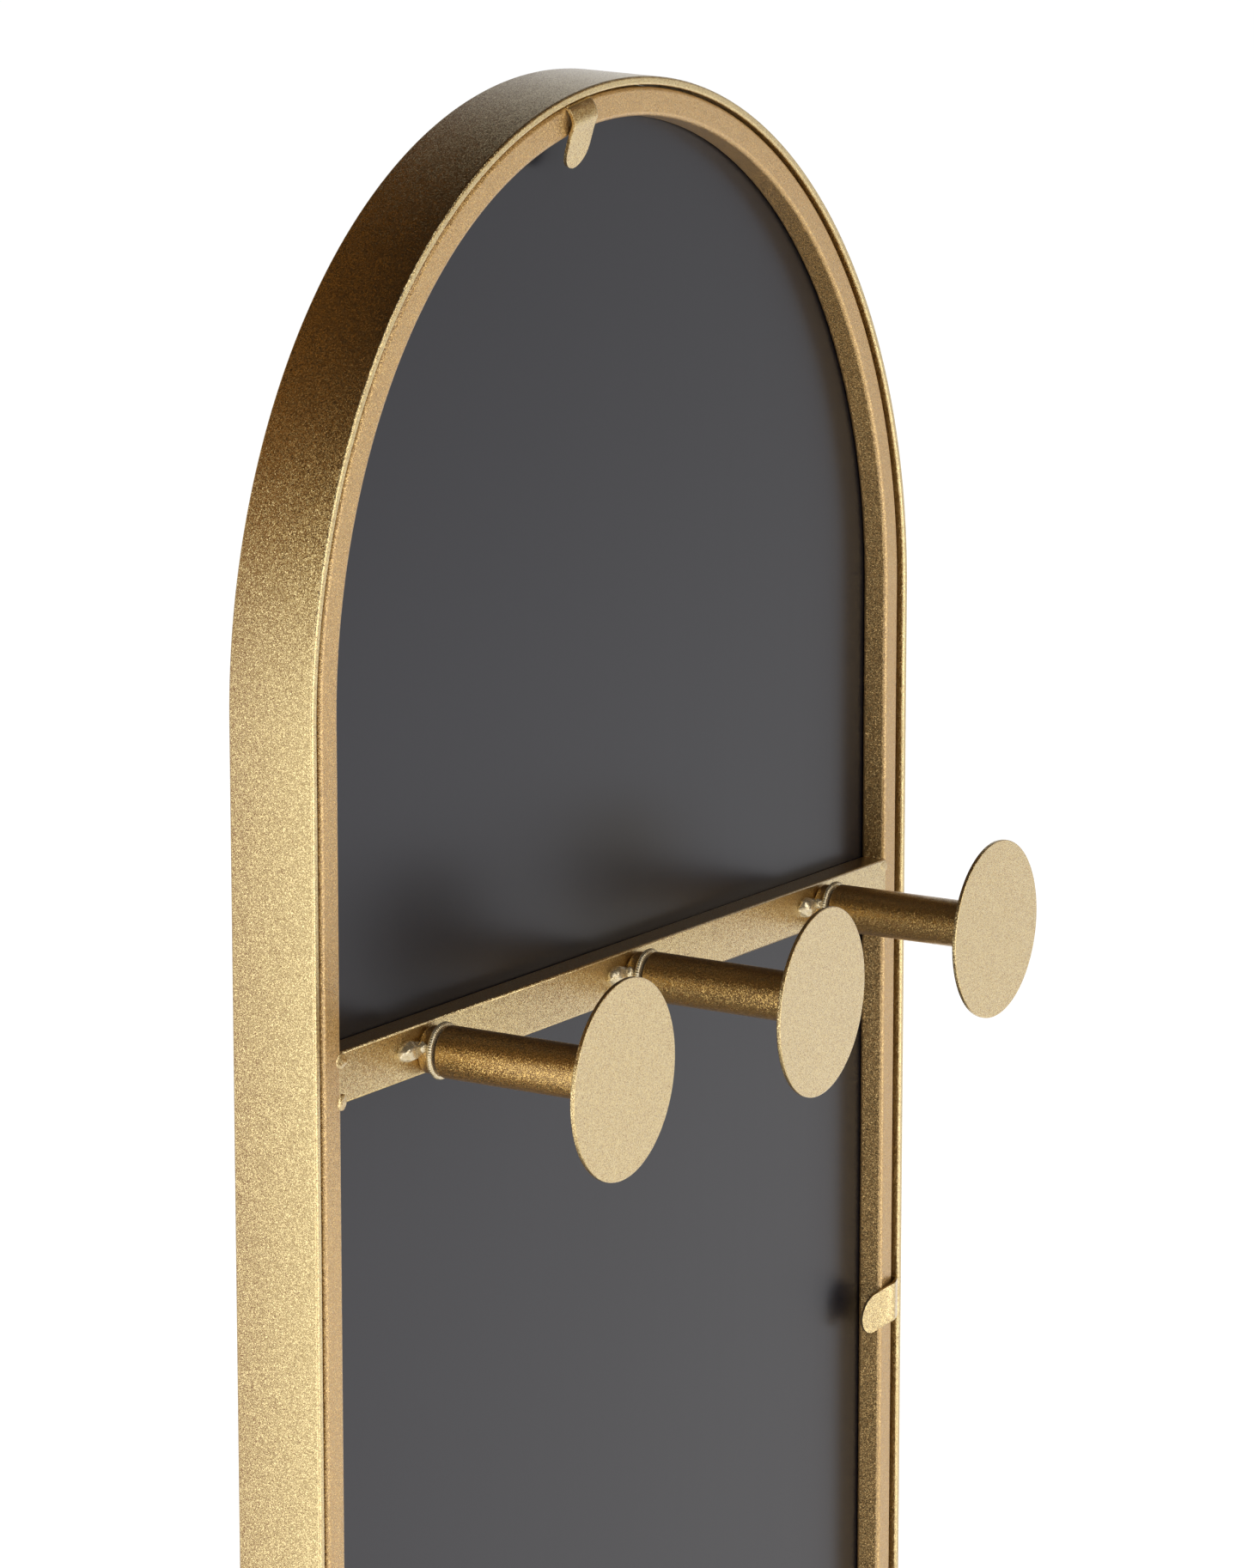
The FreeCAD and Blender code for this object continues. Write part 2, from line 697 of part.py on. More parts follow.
def write_parts():
    os.makedirs("parts", exist_ok=True)
    for piece in nodes:
        piece.Shape.exportStep(f"parts/{piece.Label}.step")
        print(f"{piece.Label}: {len(piece.Shape.Solids)} solids, {piece.Shape.Volume:.1f} mm3")


make_sheet()
make_outer_hoop()
make_inner_frame()
make_mirror_package()
make_crossbar()
make_pegs()
make_tabs()
make_base()
doc.recompute()
check_model()
write_parts()
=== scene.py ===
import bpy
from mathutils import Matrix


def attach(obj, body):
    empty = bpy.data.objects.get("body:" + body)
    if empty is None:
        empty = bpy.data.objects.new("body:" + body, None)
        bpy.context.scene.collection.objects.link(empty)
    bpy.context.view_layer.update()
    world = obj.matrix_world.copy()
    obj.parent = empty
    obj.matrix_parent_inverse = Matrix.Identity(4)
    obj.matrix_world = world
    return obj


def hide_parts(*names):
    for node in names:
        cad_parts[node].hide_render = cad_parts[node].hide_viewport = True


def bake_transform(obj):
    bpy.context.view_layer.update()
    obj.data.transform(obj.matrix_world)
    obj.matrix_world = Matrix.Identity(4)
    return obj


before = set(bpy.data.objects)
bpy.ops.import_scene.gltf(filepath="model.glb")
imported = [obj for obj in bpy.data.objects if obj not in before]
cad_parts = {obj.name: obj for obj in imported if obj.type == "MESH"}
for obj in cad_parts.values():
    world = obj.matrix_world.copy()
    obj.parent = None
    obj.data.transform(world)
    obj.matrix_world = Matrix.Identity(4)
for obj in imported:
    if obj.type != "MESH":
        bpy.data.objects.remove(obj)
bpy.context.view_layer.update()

import math

import bmesh
import bpy
from mathutils import Vector, noise

# Arched mirror seen from the back: gold hoop, inner tube frame, crossbar with
# three disc-ended coat pegs, bend-over tabs and a dark board.
# Sizes are in millimetres and follow the solids; meshes are in metres.
MM = 0.001

# Hoop
HOOP_RADIUS = 200.0
HOOP_WALL = 3.0
HOOP_DEPTH = 32.0
HOOP_EDGE = 0.9
HOOP_FOOT = 9.0
SPRING = 1500.0
ARCH_STEPS = 180
# The arch of the hoop leans: its rear edge sits lower and its front edge higher.
# Outward shift at the top for each millimetre of depth, and for its square
HOOP_LEAN = (-0.0719, -0.000586)

# Inner frame
TUBE_OUTSIDE = 194.0
TUBE_SIZE = 10.0
TUBE_INSIDE = TUBE_OUTSIDE - TUBE_SIZE
TUBE_CORNER = 1.6
TUBE_REAR = 15.0
TUBE_AXIS_DEPTH = TUBE_REAR - TUBE_SIZE / 2
FRAME_LIFT = 1.2
RAIL_TOP = 24.0

# Crossbar; its ends run a little into the rounded edges of the tube, so only a hair line shows there
BAR_LEVEL = 1387.1
BAR_HEIGHT = 17.2
BAR_CORNER = 0.9
BAR_END_LAP = 1.3

# Pegs; distances along a peg start at the bar's rear face
PEG_SIDES = ("left", "middle", "right")
PEG_PLACES = (132.5, 0.0, -132.5)
PEG_LEVEL = 1386.5
PEG_REACH = 73.5
PEG_RADIUS = 8.75
PEG_SEAT = 6.9
PEG_FACETS = 112
DISC_RADIUS = 33.0
DISC_THICKNESS = 1.5
DISC_FACETS = 192
BOSS_RADIUS = 8.0
BOSS_LENGTH = 4.5
SPIGOT_RADIUS = 6.5
RING_RADIUS = 9.5
RING_END = 6.4
RING_FACETS = 420
RING_LOBES = 70
RING_SWELL = 0.13
# Each peg was welded on a little by eye: its shift along the bar, then its droop and its
# sideways turn in degrees
PEG_SHIFTS = (1.5, 3.2, -1.6)
PEG_DROOPS = (1.3, 1.8, 0.8)
PEG_TURNS = (1.7, 2.5, -0.5)

# Welds: half sizes of a lump, and its place outward from the boss, behind the bar and above the peg
TACK_SIZE, TACK_PLACE = (6.4, 3.2, 3.3), (4.6, 0.9, 1.7)
DROP_SIZE, DROP_PLACE = (1.9, 1.7, 2.0), (0.8, 3.2, 2.4)
TACK_RIDGES = 1.5
# Flat spots at the bar's ends: lift above the bar's middle, half width and half height
SEAM_SPOTS = ((BAR_HEIGHT / 2 - 3.0, 3.3, 2.7), (1.0 - BAR_HEIGHT / 2, 2.6, 3.1))
SEAM_SUNK = 0.4
# How far the spots stand proud at the left and at the right, where they are ground back further
SEAM_PROUD = {1: 0.55, -1: 0.2}

# Tabs
TAB_WIDTH = 15.0
TAB_EDGE_GAP = 0.05
TAB_THICKNESS = 1.2
TAB_EDGE = 0.28
TAB_COLUMNS = 16
TAB_AXIS_INSET = 3.6
TAB_AXIS_DEPTH = 15.6
TAB_LEVELS = {"upper": 1219.56, "middle": 651.3, "lower": 83.04}
TAB_LEFT_DROP = 12.0
TOP_TAB_ANGLE = 12.0
TOP_TAB_REACH = 196.257
# Middle line of a tab from the end of its leg to its tip: inward and rearward distances
TAB_LINE = (
    (0.0, -9.0), (0.0, -6.0), (0.0, -3.4), (0.05, -1.6), (0.5, -0.2),
    (1.7, 0.65), (3.4, 1.3), (5.2, 1.85), (6.7, 1.95), (8.2, 1.5),
    (10.4, 0.62), (13.0, -0.15), (16.0, -1.0), (19.5, -1.95), (23.4, -3.0),
)
# The tip's curve is a little fuller than a half circle and ends in a short flat
TIP_FULLNESS = 2.2
TIP_FLAT = 0.9
# A tab bent askew leans sideways from this distance inward on
SKEW_START = 4.0
RIGHT_SKEW, TOP_SKEW = -0.25, 0.2

# Height of the photograph's frame, in pixels
PHOTO_HEIGHT = 1826


# Colours and shader nodes


def linear(code):
    """An sRGB hex colour as linear red, green, blue and alpha."""
    parts = [int(code[i : i + 2], 16) / 255 for i in (1, 3, 5)]
    return [c / 12.92 if c <= 0.04045 else ((c + 0.055) / 1.055) ** 2.4 for c in parts] + [1.0]


def add(tree, kind, inputs=None, **settings):
    """Adds a node with its settings; an input is a value or another node's socket."""
    made = tree.nodes.new(kind)
    for name, value in settings.items():
        setattr(made, name, value)
    for name, value in (inputs or {}).items():
        if isinstance(value, bpy.types.NodeSocket):
            tree.links.new(value, made.inputs[name])
        else:
            made.inputs[name].default_value = value
    return made


def per_metre(size_mm):
    """Texture scale whose features are about size_mm wide."""
    return 1.0 / (size_mm * MM)


def mixed(tree, share, first, second):
    """A colour between two sRGB hex colours, by a socket's share of the second."""
    colours = {0: share, 6: linear(first), 7: linear(second)}
    return add(tree, "ShaderNodeMix", colours, data_type="RGBA").outputs[2]


def new_finish(name, **constants):
    """A material with its shader node; constant values are set on the shader itself."""
    finish = bpy.data.materials.new(name)
    finish.use_nodes = True
    tree = finish.node_tree
    shader = tree.nodes["Principled BSDF"]
    for socket, value in constants.items():
        shader.inputs[socket.replace("_", " ")].default_value = value
    return finish, tree, shader


def on_object(tree):
    """A place on the object itself, in metres."""
    return add(tree, "ShaderNodeTexCoord").outputs["Object"]


def speckle(tree, where, size_mm, detail, **inputs):
    """Soft noise with features about size_mm wide."""
    given = {"Vector": where, "Scale": per_metre(size_mm), "Detail": detail, **inputs}
    return add(tree, "ShaderNodeTexNoise", given).outputs["Fac"]


def coloured(tree, shader, share, first, second):
    """Sets the base colour between two sRGB hex colours."""
    tree.links.new(mixed(tree, share, first, second), shader.inputs["Base Color"])


def roughened(tree, shader, share, first, second):
    """Sets the roughness between two values."""
    spread = add(tree, "ShaderNodeMapRange", {"Value": share, "To Min": first, "To Max": second})
    tree.links.new(spread.outputs[0], shader.inputs["Roughness"])


def embossed(tree, shader, height, depth_mm, strength=1.0):
    """Gives the surface a fine relief."""
    given = {"Height": height, "Distance": depth_mm * MM, "Strength": strength}
    bump = add(tree, "ShaderNodeBump", given)
    tree.links.new(bump.outputs["Normal"], shader.inputs["Normal"])


# Finishes


def gold_powder_coat(name, resin, dark_flake, pale_flake, flake_share, flake_tilt=0.42, painted_front_shade=0.0):
    """Metallic powder coat baked over steel: pale gold flakes lie at slightly different angles in
    a brown resin, so the coat sparkles and its dim sides turn brown; the melted powder leaves a
    faint orange peel."""
    finish, tree, shader = new_finish(name, Coat_Weight=0.8, Coat_IOR=1.55, Coat_Roughness=0.28)
    where = on_object(tree)
    # Flakes are finer than this on the real coat; drawn as coarse as they need to show
    flake_mm, grain_to_flake = 0.26, 0.65
    peel_mm, peel_height_mm = 0.9, 0.01
    flake_roughness, resin_roughness = 0.29, 0.49
    thick_gain = 0.16

    flakes = add(tree, "ShaderNodeTexVoronoi", {"Vector": where, "Scale": per_metre(flake_mm)})
    flakes = flakes.outputs["Color"]
    centred = add(tree, "ShaderNodeVectorMath", {0: flakes, 1: (0.5, 0.5, 0.5)}, operation="SUBTRACT")
    spread = {0: centred.outputs[0], "Scale": flake_tilt}
    tilt = add(tree, "ShaderNodeVectorMath", spread, operation="SCALE")
    peel = speckle(tree, where, peel_mm, 2.0, Roughness=0.45)
    bump = add(tree, "ShaderNodeBump", {"Height": peel, "Distance": peel_height_mm * MM})
    bump = bump.outputs["Normal"]
    leaning = add(tree, "ShaderNodeVectorMath", {0: bump, 1: tilt.outputs[0]}, operation="ADD")
    facing = add(tree, "ShaderNodeVectorMath", {0: leaning.outputs[0]}, operation="NORMALIZE")
    tree.links.new(facing.outputs[0], shader.inputs["Normal"])
    tree.links.new(bump, shader.inputs["Coat Normal"])

    # Resin shows between the flakes, less where the powder lies thicker
    grain_scale = per_metre(flake_mm * grain_to_flake)
    grains = add(tree, "ShaderNodeTexVoronoi", {"Vector": where, "Scale": grain_scale})
    thickness = {0: peel, 1: thick_gain, 2: flake_share - thick_gain / 2}
    crowd = add(tree, "ShaderNodeMath", thickness, operation="MULTIPLY_ADD").outputs[0]
    if painted_front_shade:
        # Painted shade: the flakes thin out towards the band's front edge, so the coat darkens there as
        # if the light fell off across the band
        edge = HOOP_DEPTH / 2 * MM
        depth = add(tree, "ShaderNodeSeparateXYZ", {"Vector": where}).outputs["Y"]
        limits = {"From Min": -edge, "From Max": edge, "To Min": -painted_front_shade, "To Max": 0.0}
        shade_to_front = add(tree, "ShaderNodeMapRange", {"Value": depth, **limits}).outputs[0]
        crowd = add(tree, "ShaderNodeMath", {0: crowd, 1: shade_to_front}, operation="ADD").outputs[0]
    grain = add(tree, "ShaderNodeSeparateColor", {"Color": grains.outputs["Color"]}).outputs["Red"]
    metal = add(tree, "ShaderNodeMath", {0: grain, 1: crowd}, operation="LESS_THAN").outputs[0]
    tree.links.new(metal, shader.inputs["Metallic"])
    shade = add(tree, "ShaderNodeSeparateColor", {"Color": flakes}).outputs["Green"]
    colours = {0: metal, 6: linear(resin), 7: mixed(tree, shade, dark_flake, pale_flake)}
    coat = add(tree, "ShaderNodeMix", colours, data_type="RGBA").outputs[2]
    tree.links.new(coat, shader.inputs["Base Color"])
    roughened(tree, shader, metal, resin_roughness, flake_roughness)
    return finish


def bright_weld():
    """Weld metal with only a breath of coat on it: glossy and softly rippled, and pale partly from the
    bare weld and partly as a painted highlight.
    """
    gloss = {"Metallic": 0.7, "Coat_Weight": 0.5, "Coat_Roughness": 0.12}
    finish, tree, shader = new_finish("pale_weld_and_painted_highlight", **gloss)
    ripple = speckle(tree, on_object(tree), size_mm=1.4, detail=2.0)
    coloured(tree, shader, ripple, "#C2AA72", "#F1E6CB")
    roughened(tree, shader, ripple, 0.18, 0.34)
    embossed(tree, shader, ripple, depth_mm=0.12)
    return finish


def painted_board():
    """Thin hardboard with a smooth dark paint film: satin, with faint rolling marks."""
    finish, tree, shader = new_finish("dark_painted_board", IOR=1.52, Specular_Tint=linear("#F1F2FF"))
    where = on_object(tree)
    # Marks for each metre across, through and along the board
    mark_counts = (220.0, 60.0, 9.0)
    marks = add(tree, "ShaderNodeMapping", {"Vector": where, "Scale": mark_counts})
    rolled = add(tree, "ShaderNodeTexNoise", {"Vector": marks.outputs[0], "Scale": 1.0, "Detail": 3.0})
    roughened(tree, shader, rolled.outputs["Fac"], 0.27, 0.31)
    fine = speckle(tree, where, size_mm=1.2, detail=2.0)
    coloured(tree, shader, fine, "#0D0D12", "#14141A")
    embossed(tree, shader, fine, depth_mm=0.004, strength=0.6)
    return finish


def silvered_glass():
    """Float glass silvered on its back: a clear reflection with a breath of haze."""
    finish, tree, shader = new_finish("silvered_mirror_glass", Metallic=1.0)
    haze = speckle(tree, on_object(tree), size_mm=90.0, detail=4.0)
    coloured(tree, shader, haze, "#EBF0EE", "#EFF3F1")
    roughened(tree, shader, haze, 0.012, 0.02)
    return finish


def zinc_steel():
    """Zinc-plated steel of screws and nuts: pale grey with a fine crystal grain."""
    finish, tree, shader = new_finish("zinc_plated_steel", Metallic=1.0)
    grain = speckle(tree, on_object(tree), size_mm=0.8, detail=3.0)
    coloured(tree, shader, grain, "#A9A9A4", "#C6C6C0")
    roughened(tree, shader, grain, 0.28, 0.45)
    return finish


def black_rubber():
    """Moulded rubber of pads and blocks: dull black with a fine grain."""
    finish, tree, shader = new_finish("black_rubber", IOR=1.5)
    grain = speckle(tree, on_object(tree), size_mm=0.7, detail=4.0)
    coloured(tree, shader, grain, "#161616", "#232323")
    roughened(tree, shader, grain, 0.65, 0.85)
    embossed(tree, shader, grain, depth_mm=0.05, strength=0.6)
    return finish


RESIN, DARK_GOLD, PALE_GOLD = "#865618", "#C8AE74", "#E2CF9A"
GOLD = gold_powder_coat("gold_powder_coat", RESIN, DARK_GOLD, PALE_GOLD, flake_share=0.8)
# The hoop's copy of the coat carries painted shade: it is darker towards the band's front edge
HOOP_GOLD = gold_powder_coat(
    "gold_powder_coat_with_painted_front_shade", RESIN, DARK_GOLD, PALE_GOLD, flake_share=0.9, painted_front_shade=0.36
)
# The frame's tube and the peg tubes get copies of the coat in deeper golds that are painted light: the
# frame's paler resin and steeper flakes stand in for light falling on the tube, and the pegs' deeper
# gold is a painted reflection of gold light bounced off the hoop and the frame
FRAME_GOLD = gold_powder_coat(
    "frame_gold_coat_with_painted_light", "#B0864A", "#B08E52", "#CFB178", flake_share=0.56, flake_tilt=0.6
)
PEG_GOLD = gold_powder_coat("peg_gold_coat_with_painted_bounce_light", "#96682A", "#BE974C", "#D8B670", flake_share=0.66)
WELD = bright_weld()
BOARD = painted_board()
MIRROR = silvered_glass()
ZINC = zinc_steel()
RUBBER = black_rubber()


# Shaping helpers


def link(name, mesh):
    thing = bpy.data.objects.new(name, mesh)
    bpy.context.scene.collection.objects.link(thing)
    return thing


def from_work(name, work):
    """A linked thing from a finished bmesh."""
    mesh = bpy.data.meshes.new(name)
    work.to_mesh(mesh)
    work.free()
    return link(name, mesh)


def baked(thing):
    """The thing with its modifiers made part of a plain mesh."""
    depsgraph = bpy.context.evaluated_depsgraph_get()
    mesh = bpy.data.meshes.new_from_object(thing.evaluated_get(depsgraph))
    thing.modifiers.clear()
    thing.data = mesh
    return thing


def outward(mesh):
    """Merges doubles, turns every face outwards and shades it smooth."""
    same_spot = 0.001 * MM
    work = bmesh.new()
    work.from_mesh(mesh)
    bmesh.ops.remove_doubles(work, verts=work.verts, dist=same_spot)
    bmesh.ops.recalc_face_normals(work, faces=work.faces)
    for face in work.faces:
        face.smooth = True
    work.to_mesh(mesh)
    work.free()


def dressed(thing, finish, body, *nodes):
    """Gives a finished piece its smooth flats, its finish and its body, and hides the nodes it stands
    for.
    A piece given no body is attached to none."""
    outward(thing.data)
    thing.data.materials.clear()
    thing.data.materials.append(finish)
    thing.modifiers.new("even flats", "WEIGHTED_NORMAL")
    baked(thing)
    if body:
        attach(thing, body)
    if nodes:
        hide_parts(*nodes)
    return thing


def chain(name, points):
    """An open path of edges through points in millimetres."""
    edges = [(i, i + 1) for i in range(len(points) - 1)]
    mesh = bpy.data.meshes.new(name)
    mesh.from_pydata([Vector(point) * MM for point in points], edges, [])
    return link(name, mesh)


def new_tree(name, *inputs):
    """A geometry tree with a geometry going in and out, and named inputs."""
    tree = bpy.data.node_groups.new(name, "GeometryNodeTree")
    tree.interface.new_socket("Geometry", in_out="INPUT", socket_type="NodeSocketGeometry")
    for label, kind in inputs:
        tree.interface.new_socket(label, in_out="INPUT", socket_type=kind)
    tree.interface.new_socket("Geometry", in_out="OUTPUT", socket_type="NodeSocketGeometry")
    return tree, add(tree, "NodeGroupInput")


def end_tree(tree, geometry, finish):
    """Closes a tree: real geometry, with its finish set."""
    real = add(tree, "GeometryNodeRealizeInstances", {"Geometry": geometry})
    coated = add(tree, "GeometryNodeSetMaterial", {"Geometry": real.outputs[0], "Material": finish})
    add(tree, "NodeGroupOutput", {"Geometry": coated.outputs[0]})


def grown(thing, tree, **values):
    """Runs a tree on a thing with its named inputs, and keeps the plain mesh."""
    modifier = thing.modifiers.new(tree.name, "NODES")
    modifier.node_group = tree
    for socket in tree.interface.items_tree:
        if socket.in_out == "INPUT" and socket.name in values:
            modifier[socket.identifier] = values[socket.name]
    return baked(thing)


def section_tree():
    """Sweeps a round-cornered rectangular section along a path that lies in a plane of constant Y."""
    tree, given = new_tree(
        "rounded_section_along_path",
        ("Depth", "NodeSocketFloat"),
        ("Thickness", "NodeSocketFloat"),
        ("Corner", "NodeSocketFloat"),
        ("Finish", "NodeSocketMaterial"),
    )
    path = add(tree, "GeometryNodeMeshToCurve", {"Mesh": given.outputs["Geometry"]})
    upright = {"Curve": path.outputs[0], "Normal": (0.0, 1.0, 0.0)}
    level = add(tree, "GeometryNodeSetCurveNormal", upright, mode="FREE")
    flat = add(
        tree,
        "GeometryNodeCurvePrimitiveQuadrilateral",
        {"Width": given.outputs["Depth"], "Height": given.outputs["Thickness"]},
        mode="RECTANGLE",
    )
    rounded = add(
        tree,
        "GeometryNodeFilletCurve",
        {"Curve": flat.outputs[0], "Count": 5, "Radius": given.outputs["Corner"]},
        mode="POLY",
    )
    sweep = add(
        tree,
        "GeometryNodeCurveToMesh",
        {"Curve": level.outputs[0], "Profile Curve": rounded.outputs[0], "Fill Caps": True},
    )
    end_tree(tree, sweep.outputs[0], given.outputs["Finish"])
    return tree


def row_tree():
    """Sets one copy of a shape on each point, turned by the point's own angles."""
    tree, given = new_tree(
        "shape_on_each_point",
        ("Shape", "NodeSocketObject"),
        ("Finish", "NodeSocketMaterial"),
    )
    shape = add(tree, "GeometryNodeObjectInfo", {"Object": given.outputs["Shape"]})
    turn = add(tree, "GeometryNodeInputNamedAttribute", {"Name": "turn"}, data_type="FLOAT_VECTOR")
    copies = add(
        tree,
        "GeometryNodeInstanceOnPoints",
        {
            "Points": given.outputs["Geometry"],
            "Instance": shape.outputs["Geometry"],
            "Rotation": turn.outputs["Attribute"],
        },
    )
    end_tree(tree, copies.outputs[0], given.outputs["Finish"])
    return tree


SECTION = section_tree()
ROW = row_tree()


def arch_points(radius, foot, y, spring=SPRING):
    """Path up one leg, round the half circle and down the other leg."""
    bend = [math.pi * i / ARCH_STEPS for i in range(ARCH_STEPS + 1)]
    arc = [(radius * math.cos(turn), y, spring + radius * math.sin(turn)) for turn in bend]
    return [(radius, y, foot)] + arc + [(-radius, y, foot)]


def hoop_lean(y):
    """Outward shift of the hoop's band at the top of its arch, at a depth in millimetres."""
    return HOOP_LEAN[0] * y + HOOP_LEAN[1] * y * y


def swept(name, points, depth, thickness, corner, finish):
    """A tube or band along a path, with its sizes in millimetres."""
    sizes = {"Depth": depth * MM, "Thickness": thickness * MM, "Corner": corner * MM}
    return grown(chain(name, points), SECTION, Finish=finish, **sizes)


def lathed(name, profile, facets, lobes=0, swell=0.0):
    """A shape turned about the Y axis from pairs of radius and distance, plain or with uneven lobes."""
    sway, sway_scale, lobe_share, lump_scale = 3.0, 2, 0.5, 4
    work = bmesh.new()
    rings = []
    for radius, y in profile:
        ring = []
        for i in range(facets):
            turn = math.tau * i / facets
            out = Vector((math.cos(turn), math.sin(turn), 0.0))
            lobe = math.sin(lobes * turn + sway * noise.noise(out * sway_scale))
            lump = noise.noise(out * lump_scale + Vector((0, 0, y)))
            reach = radius + swell * (lobe_share * lobe + lump)
            ring.append(work.verts.new((reach * out.x * MM, y * MM, reach * out.y * MM)))
        rings.append(ring)
    for lower, upper in zip(rings, rings[1:]):
        for i in range(facets):
            j = (i + 1) % facets
            work.faces.new((lower[i], lower[j], upper[j], upper[i]))
    work.faces.new(rings[0])
    work.faces.new(list(reversed(rings[-1])))
    return from_work(name, work)


def round_corner(centre, radius, start, end, steps):
    """Profile points round a corner, between two angles in degrees."""
    turns = [math.radians(start + (end - start) * i / steps) for i in range(steps + 1)]
    return [(centre[0] + radius * math.cos(a), centre[1] + radius * math.sin(a)) for a in turns]


def in_a_row(name, shape, finish, *nodes):
    """Sets a turned shape on the crossbar at every peg's place."""
    spots = bpy.data.meshes.new(name)
    places = [x + shift for x, shift in zip(PEG_PLACES, PEG_SHIFTS)]
    spots.from_pydata([Vector((x, TUBE_REAR, PEG_LEVEL)) * MM for x in places], [], [])
    turns = spots.attributes.new("turn", "FLOAT_VECTOR", "POINT")
    for spot, droop, turn in zip(turns.data, PEG_DROOPS, PEG_TURNS):
        spot.vector = (-math.radians(droop), 0.0, math.radians(turn))
    row = grown(link(name, spots), ROW, Shape=shape, Finish=finish)
    if "turn" in row.data.attributes:
        row.data.attributes.remove(row.data.attributes["turn"])
    bpy.data.objects.remove(shape)
    return dressed(row, finish, "stand", *nodes)


# Pieces


def make_hoop():
    path = arch_points(HOOP_RADIUS - HOOP_WALL / 2, HOOP_FOOT, 0.0)
    band = swept("hoop_band", path, HOOP_DEPTH, HOOP_WALL, HOOP_EDGE, HOOP_GOLD)
    for vertex in band.data.vertices:
        rise = vertex.co.z / MM - SPRING
        if rise > 0:
            out = Vector((vertex.co.x, 0.0, rise * MM)).normalized()
            vertex.co += out * (hoop_lean(vertex.co.y / MM) * MM * rise / HOOP_RADIUS)
    dressed(band, HOOP_GOLD, "stand", "outer_hoop")


def make_inner_frame():
    path = arch_points(TUBE_OUTSIDE - TUBE_SIZE / 2, RAIL_TOP, TUBE_AXIS_DEPTH, SPRING + FRAME_LIFT)
    arch = swept("frame_tube", path, TUBE_SIZE, TUBE_SIZE, TUBE_CORNER, FRAME_GOLD)
    level = RAIL_TOP + TUBE_SIZE / 2
    ends = [(-TUBE_INSIDE, TUBE_AXIS_DEPTH, level), (TUBE_INSIDE, TUBE_AXIS_DEPTH, level)]
    foot = swept("frame_foot_tube", ends, TUBE_SIZE, TUBE_SIZE, TUBE_CORNER, FRAME_GOLD)
    dressed(arch, FRAME_GOLD, "stand", "inner_frame")
    dressed(foot, FRAME_GOLD, "stand")


def make_crossbar():
    reach = TUBE_INSIDE + BAR_END_LAP
    ends = [(-reach, TUBE_AXIS_DEPTH, BAR_LEVEL), (reach, TUBE_AXIS_DEPTH, BAR_LEVEL)]
    bar = swept("peg_crossbar", ends, TUBE_SIZE, BAR_HEIGHT, BAR_CORNER, GOLD)
    dressed(bar, GOLD, "stand", "crossbar")


def peg_nodes(*parts):
    """Names of the solids of some parts of the three pegs."""
    return [f"peg_{part}_{side}" for part in parts for side in PEG_SIDES]


def make_peg_bosses():
    """Bosses with a fine recess where they meet the bar, and a spigot that enters the tube."""
    recess, recess_end, flare = 1.0, 0.4, 0.5
    under_ring, step, entry = 0.5, 0.1, 1.0
    neck = BOSS_RADIUS - recess
    shoulder = BOSS_LENGTH + under_ring
    profile = [
        (neck, -recess_end),
        (neck, recess_end),
        (BOSS_RADIUS, recess_end + flare),
        (BOSS_RADIUS, shoulder),
        (SPIGOT_RADIUS, shoulder + step),
        (SPIGOT_RADIUS, PEG_SEAT + entry),
    ]
    shape = lathed("peg_boss_shape", profile, PEG_FACETS)
    in_a_row("peg_bosses", shape, PEG_GOLD, *peg_nodes("socket", "stud"))


def make_peg_weld_rings():
    """Weld beads round the ends of the bosses, short of the tubes, so dark gaps stay between them."""
    lap = 0.2
    bead = (RING_END - BOSS_LENGTH + lap) / 2
    profile = [(SPIGOT_RADIUS - lap, RING_END - 2 * bead)]
    profile += round_corner((RING_RADIUS - bead, RING_END - bead), bead, -90, 90, steps=12)
    profile += [(SPIGOT_RADIUS - lap, RING_END)]
    shape = lathed("peg_ring_shape", profile, RING_FACETS, RING_LOBES, RING_SWELL)
    in_a_row("peg_weld_rings", shape, WELD)


def make_peg_tubes():
    """Tubes with a rounded root, flared by a fine fillet where they meet the discs."""
    gap, wall, rounding = 0.5, 1.2, 0.45
    fillet, fillet_middle = 0.9, 0.35
    root = PEG_SEAT + gap
    end = PEG_REACH - DISC_THICKNESS
    profile = [(PEG_RADIUS - wall, root)]
    profile += round_corner((PEG_RADIUS - rounding, root + rounding), rounding, -90, 0, steps=4)
    profile += [(PEG_RADIUS, end - fillet)]
    profile += [(PEG_RADIUS + fillet_middle, end - fillet_middle), (PEG_RADIUS + fillet, end)]
    shape = lathed("peg_tube_shape", profile, PEG_FACETS)
    in_a_row("peg_tubes", shape, PEG_GOLD, *peg_nodes("tube", "plug"))


def make_peg_discs():
    """Thin discs with a rolled edge; rings near the middle and the edge keep the flats even."""
    edge, middle, rim = 0.35, 0.4, DISC_RADIUS - 3
    front = PEG_REACH - DISC_THICKNESS
    profile = [(middle, front), (rim, front)]
    profile += round_corner((DISC_RADIUS - edge, front + edge), edge, -90, 0, steps=4)
    profile += round_corner((DISC_RADIUS - edge, PEG_REACH - edge), edge, 0, 90, steps=4)
    profile += [(rim, PEG_REACH), (middle, PEG_REACH)]
    shape = lathed("peg_disc_shape", profile, DISC_FACETS)
    in_a_row("peg_discs", shape, GOLD, *peg_nodes("disc"))


